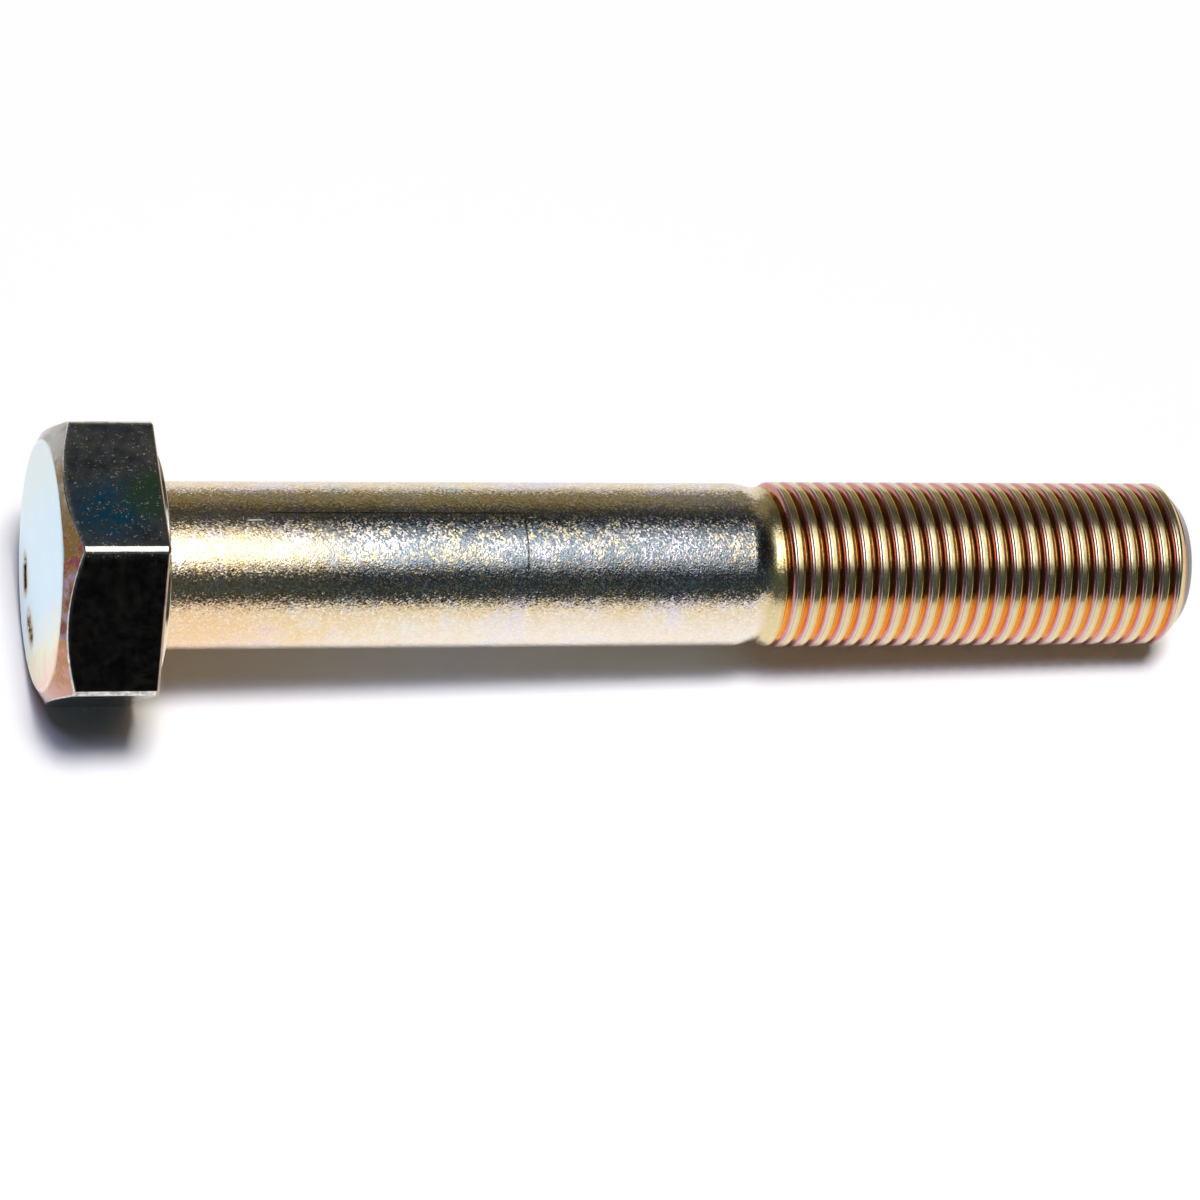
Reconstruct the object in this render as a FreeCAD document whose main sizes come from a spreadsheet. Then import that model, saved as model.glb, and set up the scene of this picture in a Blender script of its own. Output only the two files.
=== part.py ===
import FreeCAD, Part
import math
import os

import Sketcher

# Hexagon head bolt with a fine thread, M14 x 1.5 x 90, in millimetres.
# The axis runs along X: head towards -X, point towards +X.
# The origin lies on the axis in the plane of the bearing face, and two of the
# six flats of the head face +Z and -Z.

os.makedirs("parts", exist_ok=True)
doc = FreeCAD.newDocument("hex_bolt")

# Driving dimensions, in the order they are met from the head to the point.
DIMENSIONS = {
    "across_flats": 22.0,
    "head_height": 8.8,
    "head_top_diameter": 20.0,
    "chamfer_reach": 3.2,
    "chamfer_drop": 1.85,
    "corner_rounding": 0.55,
    "seat_edge_rounding": 0.25,
    "washer_face_diameter": 20.4,
    "washer_face_height": 0.45,
    "under_head_radius": 0.6,
    "shank_diameter": 13.75,
    "shank_end": 50.4,
    "neck_diameter": 13.0,
    "neck_begin": 51.4,
    "neck_end": 51.7,
    "thread_full": 53.4,
    "thread_diameter": 14.0,
    "crest_diameter": 13.968,
    "thread_pitch": 1.5,
    "groove_begin": 52.40,
    "groove_length": 38.9,
    "run_out_turns": 0.6,
    "run_out_climb": 1.1,
    "bolt_length": 90.0,
    "point_diameter": 10.6,
    "point_length": 1.7,
    "mark_radius": 6.8,
    "mark_width": 1.1,
    "mark_straight": 1.5,
    "mark_depth": 0.25,
    "mark_turn": -60.0,
    "mark_spacing": 43.0,
}

# Factors of the ISO thread profile, all per unit of pitch.
TRIANGLE_HEIGHT = math.sqrt(3.0) / 2.0
FLANK_SLOPE = math.tan(math.radians(30.0))
GROOVE_APEX = -7.0 / 8.0 * TRIANGLE_HEIGHT
ROOT_RADIUS = TRIANGLE_HEIGHT / 6.0
ROOT_CENTRE = GROOVE_APEX + 2.0 * ROOT_RADIUS
ROOT_TANGENT_RISE = ROOT_CENTRE - 0.5 * ROOT_RADIUS
ROOT_TANGENT_REACH = ROOT_RADIUS * TRIANGLE_HEIGHT
GROOVE_RIM = 0.05
GROOVE_RIM_REACH = (GROOVE_RIM - GROOVE_APEX) * FLANK_SLOPE


def fill_sheet(values):
    """Write the driving dimensions into a sheet, one named cell to a row."""
    sheet = doc.addObject("Spreadsheet::Sheet", "dims")
    for row, (name, value) in enumerate(values.items(), start=1):
        sheet.set("A%d" % row, name)
        sheet.set("B%d" % row, str(value))
        sheet.setAlias("B%d" % row, name)
    doc.recompute()


def total(**factors):
    """A length made of driving dimensions, each taken with its factor."""
    return factors


def size_of(length):
    """The length in millimetres."""
    return sum(factor * DIMENSIONS[name] for name, factor in length.items())


def formula_of(length):
    """The length as a formula on the sheet."""
    return " + ".join("(%.10f) * dims.%s" % (factor, name) for name, factor in length.items())


def origin_item(body, role):
    """The plane or axis of the body's own origin with this role."""
    return next(item for item in body.Origin.OriginFeatures if item.Role == role)


def sketch_on(body, name, role):
    """A new sketch on one of the body's origin planes."""
    sketch = body.newObject("Sketcher::SketchObject", name)
    sketch.AttachmentSupport = [(origin_item(body, role), "")]
    sketch.MapMode = "FlatFace"
    return sketch


def hold(sketch, kind, places, length, name):
    """Fix a distance or a radius of the sketch to a length from the sheet."""
    index = sketch.addConstraint(Sketcher.Constraint(kind, *places, size_of(length)))
    sketch.renameConstraint(index, name)
    sketch.setExpression("Constraints." + name, formula_of(length))


def hold_point(sketch, place, across, up, name):
    """Fix a point of the sketch by its two coordinates; None means on the axis."""
    if across is None:
        sketch.addConstraint(Sketcher.Constraint("PointOnObject", *place, -2))
    else:
        hold(sketch, "DistanceX", (-1, 1) + place, across, name + "_across")
    if up is None:
        sketch.addConstraint(Sketcher.Constraint("PointOnObject", *place, -1))
    else:
        hold(sketch, "DistanceY", (-1, 1) + place, up, name + "_up")


def coordinates(point):
    """A sketch point, given as two lengths, as a vector."""
    across, up = (0.0 if length is None else size_of(length) for length in point)
    return FreeCAD.Vector(across, up, 0.0)


def draw_outline(sketch, points, arcs=None):
    """Draw a closed outline through the points.

    arcs gives the centre of each side that is a counter-clockwise arc, under
    the number of the point where it begins.
    """
    arcs = arcs or {}
    count = len(points)
    for index in range(count):
        begin = coordinates(points[index])
        end = coordinates(points[(index + 1) % count])
        if index in arcs:
            centre = coordinates(arcs[index])
            circle = Part.Circle(centre, FreeCAD.Vector(0, 0, 1), (begin - centre).Length)
            first = math.atan2(begin.y - centre.y, begin.x - centre.x)
            last = math.atan2(end.y - centre.y, end.x - centre.x)
            if last < first:
                last += 2.0 * math.pi
            sketch.addGeometry(Part.ArcOfCircle(circle, first, last), False)
        else:
            sketch.addGeometry(Part.LineSegment(begin, end), False)
    for index in range(count):
        following = (index + 1) % count
        sketch.addConstraint(Sketcher.Constraint("Coincident", index, 2, following, 1))
    for index, (across, up) in enumerate(points):
        hold_point(sketch, (index, 1), across, up, "point_%d" % index)
    for index, (_, up) in arcs.items():
        hold(sketch, "DistanceY", (-1, 1, index, 3), up, "centre_%d" % index)


def feature(body, kind, name, sketch=None):
    """A new feature of the body, made from a sketch where one is given."""
    item = body.newObject("PartDesign::" + kind, name)
    if sketch is not None:
        item.Profile = sketch
        sketch.Visibility = False
    return item


def turned(body, kind, name, sketch):
    """A feature turned right round the bolt axis from a sketch."""
    item = feature(body, kind, name, sketch)
    item.ReferenceAxis = (sketch, ["H_Axis"])
    item.Angle = 360.0
    doc.recompute()
    return item


def rounded(body, name, base, chosen, radius):
    """Round the edges of the base that the test chooses."""
    edges = enumerate(base.Shape.Edges, start=1)
    names = ["Edge%d" % number for number, edge in edges if chosen(edge)]
    item = body.newObject("PartDesign::Fillet", name)
    item.Base = (base, names)
    item.Radius = size_of(radius)
    item.setExpression("Radius", formula_of(radius))
    doc.recompute()
    return item


def runs_along_axis(edge):
    """True for a straight edge parallel to the bolt axis."""
    box = edge.BoundBox
    return box.XLength > 1.0 and box.YLength < 1e-4 and box.ZLength < 1e-4


def lies_at_seat(edge):
    """True for an edge in the plane of the hexagon's lower side."""
    seat = -DIMENSIONS["washer_face_height"]
    box = edge.BoundBox
    return abs(box.XMin - seat) < 1e-4 and abs(box.XMax - seat) < 1e-4


def add_hexagon(body):
    """The hexagonal prism of the head, from its top to the washer face."""
    sketch = sketch_on(body, "hexagon", "YZ_Plane")
    half_width = DIMENSIONS["across_flats"] / 2.0
    corner_radius = half_width / math.cos(math.radians(30.0))
    corners = [
        FreeCAD.Vector(corner_radius * math.cos(turn), corner_radius * math.sin(turn), 0.0)
        for turn in (math.radians(60.0 * index) for index in range(6))
    ]
    for index in range(6):
        sketch.addGeometry(Part.LineSegment(corners[index], corners[(index + 1) % 6]), False)
    for index in range(6):
        sketch.addConstraint(Sketcher.Constraint("Coincident", index, 2, (index + 1) % 6, 1))
    for index in range(1, 6):
        sketch.addConstraint(Sketcher.Constraint("Equal", 0, index))
    # Opposite corners on the horizontal axis, the upper flat at half the width.
    sketch.addConstraint(Sketcher.Constraint("PointOnObject", 0, 1, -1))
    sketch.addConstraint(Sketcher.Constraint("Symmetric", 0, 1, 3, 1, -1, 1))
    sketch.addConstraint(Sketcher.Constraint("Horizontal", 1))
    hold(sketch, "DistanceY", (-1, 1, 1, 1), total(across_flats=0.5), "half_width")
    sketch.setExpression("AttachmentOffset.Base.z", "-dims.washer_face_height")
    prism = feature(body, "Pad", "head_prism", sketch)
    prism.Reversed = True
    prism.Length = DIMENSIONS["head_height"] - DIMENSIONS["washer_face_height"]
    prism.setExpression("Length", "dims.head_height - dims.washer_face_height")
    doc.recompute()
    return prism


def add_top_chamfer(body):
    """The conical chamfer that leaves a round flat on top of the head."""
    sketch = sketch_on(body, "top_chamfer_profile", "XY_Plane")
    top = total(head_height=-1)
    foot = total(head_height=-1, chamfer_drop=1)
    rim = total(head_top_diameter=0.5)
    outside = total(head_top_diameter=0.5, chamfer_reach=1)
    draw_outline(sketch, [(top, rim), (foot, outside), (top, outside)])
    return turned(body, "Groove", "top_chamfer", sketch)


def add_turned_length(body):
    """Washer face, shank, shoulder, neck, thread blank and chamfered point."""
    sketch = sketch_on(body, "shank_profile", "XY_Plane")
    buried = total(washer_face_height=-2)
    washer = total(washer_face_diameter=0.5)
    fillet = total(under_head_radius=1)
    fillet_top = total(shank_diameter=0.5, under_head_radius=1)
    shank = total(shank_diameter=0.5)
    neck = total(neck_diameter=0.5)
    crest = total(crest_diameter=0.5)
    point = total(point_diameter=0.5)
    tip = total(bolt_length=1)
    points = [
        (buried, washer),
        (None, washer),
        (None, fillet_top),
        (fillet, shank),
        (total(shank_end=1), shank),
        (total(neck_begin=1), neck),
        (total(neck_end=1), neck),
        (total(thread_full=1), crest),
        (total(bolt_length=1, point_length=-1), crest),
        (tip, point),
        (tip, None),
        (buried, None),
    ]
    draw_outline(sketch, points, {2: (fillet, fillet_top)})
    return turned(body, "Revolution", "turned_length", sketch)


def groove_point(reach, rise):
    """A point of the groove's profile, in pitches from its middle and from the major radius."""
    across = total(groove_begin=1, thread_pitch=reach)
    up = total(thread_diameter=0.5, thread_pitch=rise)
    return across, up


def draw_groove(body):
    """The 60 degree groove of the thread with its rounded root."""
    sketch = sketch_on(body, "groove_profile", "XY_Plane")
    points = [
        groove_point(-GROOVE_RIM_REACH, GROOVE_RIM),
        groove_point(-ROOT_TANGENT_REACH, ROOT_TANGENT_RISE),
        groove_point(ROOT_TANGENT_REACH, ROOT_TANGENT_RISE),
        groove_point(GROOVE_RIM_REACH, GROOVE_RIM),
    ]
    draw_outline(sketch, points, {1: groove_point(0.0, ROOT_CENTRE)})
    return sketch


def add_groove(body, sketch):
    """The right-hand helical groove, from the neck out past the point."""
    groove = feature(body, "SubtractiveHelix", "thread_groove", sketch)
    groove.ReferenceAxis = (sketch, ["H_Axis"])
    groove.Mode = "pitch-height-angle"
    groove.Pitch = DIMENSIONS["thread_pitch"]
    groove.Height = DIMENSIONS["groove_length"]
    groove.setExpression("Pitch", "dims.thread_pitch")
    groove.setExpression("Height", "dims.groove_length")
    doc.recompute()
    return groove


def add_run_out(body, sketch):
    """The last part of a turn, in which the groove climbs out of the neck."""
    run_out = feature(body, "SubtractiveHelix", "thread_run_out", sketch)
    run_out.ReferenceAxis = (sketch, ["H_Axis"])
    run_out.Mode = "height-turns-growth"
    run_out.Reversed = True
    run_out.Turns = DIMENSIONS["run_out_turns"]
    run_out.Height = DIMENSIONS["run_out_turns"] * DIMENSIONS["thread_pitch"]
    run_out.Growth = DIMENSIONS["run_out_climb"]
    run_out.setExpression("Turns", "dims.run_out_turns")
    run_out.setExpression("Height", "dims.run_out_turns * dims.thread_pitch")
    run_out.setExpression("Growth", "dims.run_out_climb")
    doc.recompute()
    return run_out


def add_marks(body):
    """Two small plain bars sunk into the top of the head near its rim."""
    sketch = sketch_on(body, "mark_outline", "YZ_Plane")
    sketch.setExpression("AttachmentOffset.Base.z", "-dims.head_height")
    sketch.setExpression("AttachmentOffset.Rotation.Angle", "dims.mark_turn")
    inner = total(mark_radius=1, mark_width=-0.5)
    outer = total(mark_radius=1, mark_width=0.5)
    middle = total(mark_radius=1)
    lower = total(mark_straight=-0.5)
    upper = total(mark_straight=0.5)
    points = [(outer, lower), (outer, upper), (inner, upper), (inner, lower)]
    draw_outline(sketch, points, {1: (middle, upper), 3: (middle, lower)})
    pocket = feature(body, "Pocket", "mark", sketch)
    pocket.Reversed = True
    pocket.Length = DIMENSIONS["mark_depth"]
    pocket.setExpression("Length", "dims.mark_depth")
    doc.recompute()
    marks = feature(body, "PolarPattern", "marks")
    marks.Originals = [pocket]
    marks.Axis = (origin_item(body, "X_Axis"), [""])
    marks.Reversed = True
    marks.Occurrences = 2
    marks.Angle = DIMENSIONS["mark_spacing"]
    marks.setExpression("Angle", "dims.mark_spacing")
    body.Tip = marks
    doc.recompute()
    return marks


def check_change(name, before, after, expected):
    """Stop if a feature changes the volume by other than the expected amount."""
    change = after.Shape.Volume - before.Shape.Volume
    print("%s changes the volume by %.2f mm3" % (name, change))
    if not expected[0] <= change <= expected[1]:
        raise RuntimeError("%s changes the volume by %.2f mm3" % (name, change))


def check_objects():
    """Stop if any object is in error or any solid is missing or invalid."""
    for item in doc.Objects:
        if "Invalid" in item.State or "Error" in item.State:
            raise RuntimeError("%s is in error: %s" % (item.Name, item.getStatusString()))
    shape = body.Shape
    if shape.isNull() or not shape.isValid() or len(shape.Solids) != 1:
        raise RuntimeError("hex_bolt is not one valid solid")


fill_sheet(DIMENSIONS)
body = doc.addObject("PartDesign::Body", "hex_bolt")
body.Label = "hex_bolt"

prism = add_hexagon(body)
corner_rounds = rounded(
    body, "corner_rounds", prism, runs_along_axis, total(corner_rounding=1)
)
check_change("corner_rounds", prism, corner_rounds, (-5.0, -0.1))
seat_rounds = rounded(
    body, "seat_edge_rounds", corner_rounds, lies_at_seat, total(seat_edge_rounding=1)
)
check_change("seat_edge_rounds", corner_rounds, seat_rounds, (-5.0, -0.1))
chamfer = add_top_chamfer(body)
check_change("top_chamfer", seat_rounds, chamfer, (-120.0, -30.0))
length = add_turned_length(body)
check_change("turned_length", chamfer, length, (13000.0, 14500.0))
groove_outline = draw_groove(body)
groove = add_groove(body, groove_outline)
check_change("thread_groove", length, groove, (-720.0, -560.0))
run_out = add_run_out(body, groove_outline)
check_change("thread_run_out", groove, run_out, (-4.0, -0.2))
marks = add_marks(body)
check_change("marks", run_out, marks, (-1.4, -0.8))

body.Placement = FreeCAD.Placement()
doc.recompute()
check_objects()
body.Shape.exportStep("parts/%s.step" % body.Label)
print("volume %.1f mm3" % body.Shape.Volume)
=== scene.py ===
import math

import bpy
import numpy as np
from mathutils import Matrix, Vector


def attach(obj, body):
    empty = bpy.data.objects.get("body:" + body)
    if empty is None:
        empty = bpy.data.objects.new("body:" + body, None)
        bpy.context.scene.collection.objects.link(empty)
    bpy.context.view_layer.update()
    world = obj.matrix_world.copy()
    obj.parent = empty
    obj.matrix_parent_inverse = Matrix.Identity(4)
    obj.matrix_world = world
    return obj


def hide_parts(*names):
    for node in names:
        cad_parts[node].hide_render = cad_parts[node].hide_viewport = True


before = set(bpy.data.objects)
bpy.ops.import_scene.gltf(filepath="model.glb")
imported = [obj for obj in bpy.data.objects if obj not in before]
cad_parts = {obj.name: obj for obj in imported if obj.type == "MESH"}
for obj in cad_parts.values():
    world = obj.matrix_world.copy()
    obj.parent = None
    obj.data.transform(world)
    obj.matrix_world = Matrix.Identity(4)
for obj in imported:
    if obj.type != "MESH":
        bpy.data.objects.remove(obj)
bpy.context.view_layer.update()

MM = 0.001
TURN = 2 * math.pi

# The bolt's shape in millimetres, as in the CAD. X runs from the head to the point, and an angle
# round the axis is measured from +Y towards +Z.
HEAD_HEIGHT = 8.8
SECTORS = 6
APOTHEM = 11.0
CORNER_ROUND = 0.50
CORNER_BULGE = 0.3  # how much of the corner's round still stands past its worn facet
FACE_RADIUS = 10.0
FACE_ROUND = 0.7
FACE_CROWN = 0.035  # how far the face's middle stands in front of its rim
CHAMFER_SLOPE = math.radians(30)
CHAMFER_ROUND = 0.22
SEAT_ROUND = 0.25
WASHER_RADIUS = 10.2
WASHER_HEIGHT = 0.45
WASHER_ROUND = 0.09
WASHER_FOOT = ((0.0, 0.08), (0.025, 0.02), (0.08, 0.0))  # its inside corner: along X, outward
FILLET = 0.6
SHANK_RADIUS = 6.875
NECK_RADIUS = 6.5
NECK_START = 49.8
NECK_END = 51.9
ENVELOPE_FULL = 53.1
ENVELOPE_BEND = 1.25  # power by which the crests rise out of the neck
CREST_RADIUS = 6.985
PITCH = 1.5
GROOVE_DEPTH = 0.66
FLANK_LEAN = math.radians(62)  # between a groove's flank and the axis
FIRST_CREST = 53.22
RUN_OUT_START = 51.65
RUN_OUT_LENGTH = 0.9
LENGTH = 90.0
POINT_RADIUS = 5.3
POINT_ROUND = 0.5
POINT_SLOPE = math.pi / 4
POINT_BLEND = 0.07  # softness of the edge between the thread and the point's chamfer

# Two plain sunk bars on the head's face.
MARK_RADIUS = 6.8
MARK_ANGLES = (math.radians(-60), math.radians(-103))
MARK_STRAIGHT = 1.5
MARK_WIDTH = 1.1
MARK_WALL = 0.2
MARK_DEPTH = 0.25
MARK_STAIN = 1.1  # how much wider the stain's soft edge is than the bar's wall

# A crest is blunt, with a fine rolled seam a little off its middle.
CREST_HALF = 0.42
CREST_ROUND = 0.20
ROOT_ROUND = 0.06
SEAM_AT = -0.155
SEAM_DEPTH = 0.035
SEAM_WIDTH = 0.045

# The mesh: rows of vertices round the axis, plain rings up to RING_END and one helix after it.
COLUMNS = 144
RING_END = 48.5
RING_STEP = 2.3
HELIX_START = -3.0  # in turns from the first crest
POINT_TURN = 0.36  # the helix's travel over the point's rounding
POINT_INWARD = 1.5  # the helix's travel over the point's end face

# Rows of one pitch, as shares of the pitch from the crest's middle: closest together at the root
# (0.5) and over the seam (0.897), and wider on the flanks.
PHASES = np.array(
    [0, 0.09, 0.15, 0.20, 0.25, 0.31, 0.39, 0.48, 0.5, 0.52, 0.61, 0.69, 0.75, 0.80, 0.85,
     0.875, 0.897, 0.92, 0.95]
)

# Where the shank's look gives way to the thread's, and how wide a crest's worn band is; the band also
# carries a painted sheen.
LOOK_FADE = 1.5
THREAD_LOOK_DELAY = 0.6
CREST_WORN = 0.16  # half of the band, as a share of the pitch

# The mark "part" says where on the bolt a vertex lies, for the material.
ON_FACE = 1.0
ON_FACE_EDGE = 0.8
ON_CHAMFER = 0.6
ON_CHAMFER_EDGE = 0.5
ON_FLATS = 0.3
ON_SEAT_EDGE = 0.2
ON_SEAT = 0.1
ON_SHANK = 0.0
ON_THREAD = -1.0


def smooth_step(t):
    t = np.clip(t, 0, 1)
    return t * t * (3 - 2 * t)


def soft_max(a, b, width):
    """The larger of a and b, rounded off where they cross."""
    h = np.clip(0.5 + 0.5 * (a - b) / width, 0, 1)
    return b + (a - b) * h + width * h * (1 - h)


def soft_min(a, b, width):
    return -soft_max(-a, -b, width)


def off_corner(angle):
    """Angle from the nearest corner of the hexagon; the corners lie at 0, 60, 120 degrees and so on."""
    sector = TURN / SECTORS
    return (angle + sector / 2) % sector - sector / 2


def hexagon_radius(angle):
    """Distance from the axis to the hexagon, whose rounded corners are worn to a narrow facet."""
    half = TURN / SECTORS / 2
    off = off_corner(angle)
    flat = APOTHEM / np.cos(half - np.abs(off))
    centre = (APOTHEM - CORNER_ROUND) / math.cos(half)
    inside = np.maximum(CORNER_ROUND**2 - (centre * np.sin(off)) ** 2, 0)
    rounded = centre * np.cos(off) + np.sqrt(inside)
    facet_x = centre + CORNER_ROUND * math.cos(half)
    tangent = math.atan2(CORNER_ROUND * math.sin(half), facet_x)
    facet = facet_x / np.cos(off)
    corner = facet + (rounded - facet) * CORNER_BULGE
    return np.where(np.abs(off) < tangent, corner, flat)


def corner_columns():
    """Angles of the columns on the head, close together at the six corners."""
    sector = 360 // SECTORS
    near = [0, 0.75, 1.2, 1.5, 1.85, 3.2]
    between_count = COLUMNS // SECTORS - (2 * len(near) - 1)
    between = np.linspace(near[-1], sector - near[-1], between_count + 2)[1:-1]
    offsets = near + list(between) + [sector - d for d in reversed(near[1:])]
    angles = [corner * sector + d for corner in range(SECTORS) for d in offsets]
    return np.radians(angles)


def even_columns():
    return np.arange(COLUMNS) * TURN / COLUMNS


def mark_columns():
    """Angles of the columns on the head's face, close together at the two marks."""
    crowding, reach = 2.2, 0.24
    fine = np.linspace(0, TURN, 3601)
    density = np.ones_like(fine)
    for angle in MARK_ANGLES:
        away = (fine - angle + math.pi) % TURN - math.pi
        density += crowding * np.exp(-((away / reach) ** 2))
    summed = np.concatenate([[0], np.cumsum((density[1:] + density[:-1]) / 2)])
    summed *= TURN / summed[-1]
    return np.interp(even_columns(), summed, fine)


class Rings:
    """Rows of vertices, each going once round the axis, with the marks that the material reads."""

    def __init__(self):
        self.rows = []

    def add(self, angles, x, radius, part, wear=0.0, grain=0.0, depth=0.0):
        ones = np.ones(COLUMNS)
        row = [angles, x, radius, wear, part, grain, 0.0, depth]
        self.rows.append(np.stack([item * ones for item in row], axis=1))


def mark_depth(angle, radius, spread=0.0):
    """How far the two sunk bars take the head's face back at each point."""
    deep = np.zeros_like(radius * np.ones_like(angle))
    y, z = radius * np.cos(angle), radius * np.sin(angle)
    for turn in MARK_ANGLES:
        outward = y * math.cos(turn) + z * math.sin(turn)
        along = -y * math.sin(turn) + z * math.cos(turn)
        beyond = np.maximum(np.abs(along) - MARK_STRAIGHT / 2, 0)
        away = np.hypot(outward - MARK_RADIUS, beyond)
        edge = MARK_WIDTH / 2 + spread / 2 - away
        wall = smooth_step(edge / (MARK_WALL + spread) + 0.5)
        deep = np.maximum(deep, np.where(outward > 0, wall, 0))
    return deep * MARK_DEPTH


def face_rings(rings, corners):
    """The head's face, slightly crowned, and the rounding to its chamfer."""
    top = -HEAD_HEIGHT
    flat_end = FACE_RADIUS - FACE_ROUND * math.tan(CHAMFER_SLOPE / 2)
    columns = mark_columns()
    relax_from = 7.7
    radii = [0.8, 1.8, 2.8, 3.8, 4.8, 5.5, 5.85]
    radii += list(np.arange(6.0, 7.61, 0.115))
    radii += [7.9, 8.4, 8.9, 9.3, flat_end - 0.2, flat_end]
    for radius in radii:
        relax = smooth_step((radius - relax_from) / (flat_end - relax_from))
        angles = columns + (corners - columns) * relax
        x = top + FACE_CROWN * (radius / flat_end) ** 2 + mark_depth(angles, radius)
        stained = mark_depth(angles, radius, MARK_STAIN) / MARK_DEPTH
        rings.add(angles, x, radius, ON_FACE, depth=stained)
    for step in (0.25, 0.5, 0.75, 1.0):
        turn = CHAMFER_SLOPE * step
        radius = flat_end + FACE_ROUND * math.sin(turn)
        x = top + FACE_CROWN + FACE_ROUND * (1 - math.cos(turn)) - FACE_CROWN * step
        wear = 0.6 * math.sin(math.pi * min(step, 0.9))
        rings.add(corners, x, radius, ON_FACE_EDGE, wear)


def chamfer_rings(rings, corners, hexagon):
    """The chamfer and the rounding to the flats; returns where the flats begin."""
    top = -HEAD_HEIGHT
    slope = math.tan(CHAMFER_SLOPE)
    start = FACE_RADIUS - FACE_ROUND * math.tan(CHAMFER_SLOPE / 2) + FACE_ROUND * math.sin(CHAMFER_SLOPE)
    reach = CHAMFER_ROUND * math.tan((math.pi / 2 - CHAMFER_SLOPE) / 2)
    last = hexagon - reach * math.cos(CHAMFER_SLOPE)
    for share in (0.12, 0.35, 0.6, 0.85, 0.97):
        radius = start + (last - start) * share
        rings.add(corners, top + (radius - FACE_RADIUS) * slope, radius, ON_CHAMFER)
    flat_start = top + (hexagon - FACE_RADIUS) * slope + reach
    for turned in np.linspace(0, math.pi / 2 - CHAMFER_SLOPE, 5):
        lean = CHAMFER_SLOPE + turned
        radius = hexagon - CHAMFER_ROUND + CHAMFER_ROUND * math.sin(lean)
        rings.add(corners, flat_start - CHAMFER_ROUND * math.cos(lean), radius, ON_CHAMFER_EDGE, 1.0)
    return flat_start


def flat_rings(rings, corners, hexagon, flat_start):
    """The six flats, with worn corners, and the rounding to the underside."""
    flat_stop = -WASHER_HEIGHT - SEAT_ROUND
    corner_wear = (np.abs(off_corner(corners)) < math.radians(1.7)) * 1.0
    for share in (0.02, 0.06, 0.25, 0.45, 0.65, 0.85, 0.96, 0.99):
        x = flat_start + (flat_stop - flat_start) * share
        rings.add(corners, x, hexagon, ON_FLATS, corner_wear)
    for angle in np.linspace(0, math.pi / 2, 6):
        x = flat_stop + SEAT_ROUND * math.sin(angle)
        radius = hexagon - SEAT_ROUND + SEAT_ROUND * math.cos(angle)
        rings.add(corners, x, radius, ON_SEAT_EDGE, 1.0)


def seat_rings(rings, corners, even, hexagon):
    """The underside, the washer face and the fillet to the shank."""
    seat = -WASHER_HEIGHT
    rim = hexagon - SEAT_ROUND
    inner = WASHER_RADIUS + WASHER_FOOT[0][1]
    for share in (0.08, 0.4, 0.75):
        rings.add(corners, seat, rim + (inner - rim) * share, ON_SEAT)
    for along, outward in WASHER_FOOT:
        rings.add(corners, seat + along, WASHER_RADIUS + outward, ON_SEAT)
    wall_margin = 0.06
    rings.add(corners, -WASHER_ROUND - wall_margin, WASHER_RADIUS, ON_SEAT)
    outer = WASHER_RADIUS - WASHER_ROUND
    for angle in np.linspace(0, math.pi / 2, 4):
        x = -WASHER_ROUND + WASHER_ROUND * math.sin(angle)
        rings.add(corners, x, outer + WASHER_ROUND * math.cos(angle), ON_SEAT, 0.8)
    foot = SHANK_RADIUS + FILLET
    last_share = 0.95
    for share in (0.04, 0.25, 0.5, 0.75, last_share):
        relax = smooth_step(share / last_share)
        rings.add(corners + (even - corners) * relax, 0.0, outer + (foot - outer) * share, ON_SEAT)
    for angle in np.linspace(0, math.pi / 2, 7):
        x = FILLET - FILLET * math.cos(angle)
        grain = angle / (math.pi / 2)
        rings.add(even, x, foot - FILLET * math.sin(angle), ON_SHANK, grain=grain)


def ring_rows():
    """All the plain rings, from the head's face to the place on the shank where the helix begins."""
    rings = Rings()
    corners, even = corner_columns(), even_columns()
    hexagon = hexagon_radius(corners)
    face_rings(rings, corners)
    flat_start = chamfer_rings(rings, corners, hexagon)
    flat_rings(rings, corners, hexagon, flat_start)
    seat_rings(rings, corners, even, hexagon)
    for x in list(np.arange(FILLET + 0.2, RING_END, RING_STEP)) + [RING_END]:
        rings.add(even, x, SHANK_RADIUS, ON_SHANK, grain=1.0)
    return rings.rows


def groove(share):
    """Depth below the crest, at a share of a pitch from the crest's middle (-0.5 to 0.5)."""
    away = abs(share) * PITCH
    flank = (away - CREST_HALF) * math.tan(FLANK_LEAN)
    depth = soft_max(flank, 0.0, CREST_ROUND)
    depth = soft_min(depth, GROOVE_DEPTH, ROOT_ROUND)
    seam = SEAM_DEPTH * math.exp(-(((share * PITCH - SEAM_AT) / SEAM_WIDTH) ** 2))
    return depth + seam


def crest_envelope(q):
    """Radius at q along the axis, without grooves: the shank, the neck and the thread's crests."""
    fall = smooth_step((q - NECK_START) / (NECK_END - NECK_START))
    rise = np.clip((q - NECK_END) / (ENVELOPE_FULL - NECK_END), 0, 1) ** ENVELOPE_BEND
    body = SHANK_RADIUS + (NECK_RADIUS - SHANK_RADIUS) * fall
    return body + (CREST_RADIUS - NECK_RADIUS) * rise


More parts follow.
